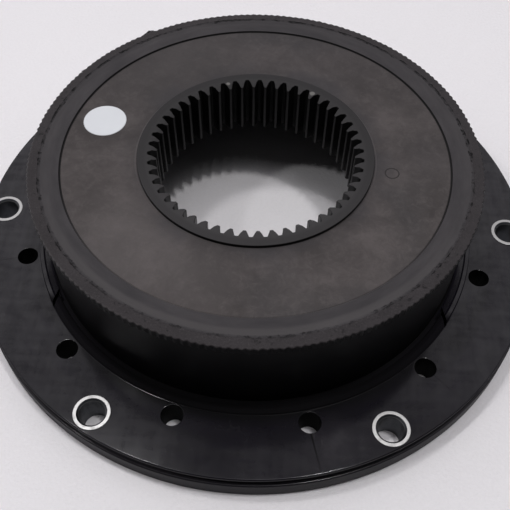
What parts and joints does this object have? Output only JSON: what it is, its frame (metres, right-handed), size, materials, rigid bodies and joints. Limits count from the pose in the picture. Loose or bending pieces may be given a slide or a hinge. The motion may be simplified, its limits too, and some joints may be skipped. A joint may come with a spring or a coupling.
{
  "type": "gear coupling",
  "caption": "Torsionally soft flange coupling: internally toothed ring bonded in a rubber disc on a bolt-on flange with steel bushes.",
  "frame": {"origin": "centre of the flange's lower face, on the axis of rotation", "axes": "+Z along the axis of rotation, from the flywheel side up to the rubber element; +X through the first steel bush"},
  "size_m": [0.2634, 0.2634, 0.0607],
  "materials": {
    "flange_plastic": "satin",
    "carrier_plastic": "matte",
    "rubber": "matte",
    "ring_plastic": "matte",
    "steel": "brushed",
    "sticker": "matte"
  },
  "bodies": {
    "root": {"flange": "flange_plastic", "carrier_ring": "carrier_plastic", "rubber_disc": "rubber", "toothed_ring": "ring_plastic", "label": "sticker", "bush_1": "steel", "bush_2": "steel", "bush_3": "steel", "bush_4": "steel", "bush_5": "steel", "bush_6": "steel"}
  },
  "joints": []
}
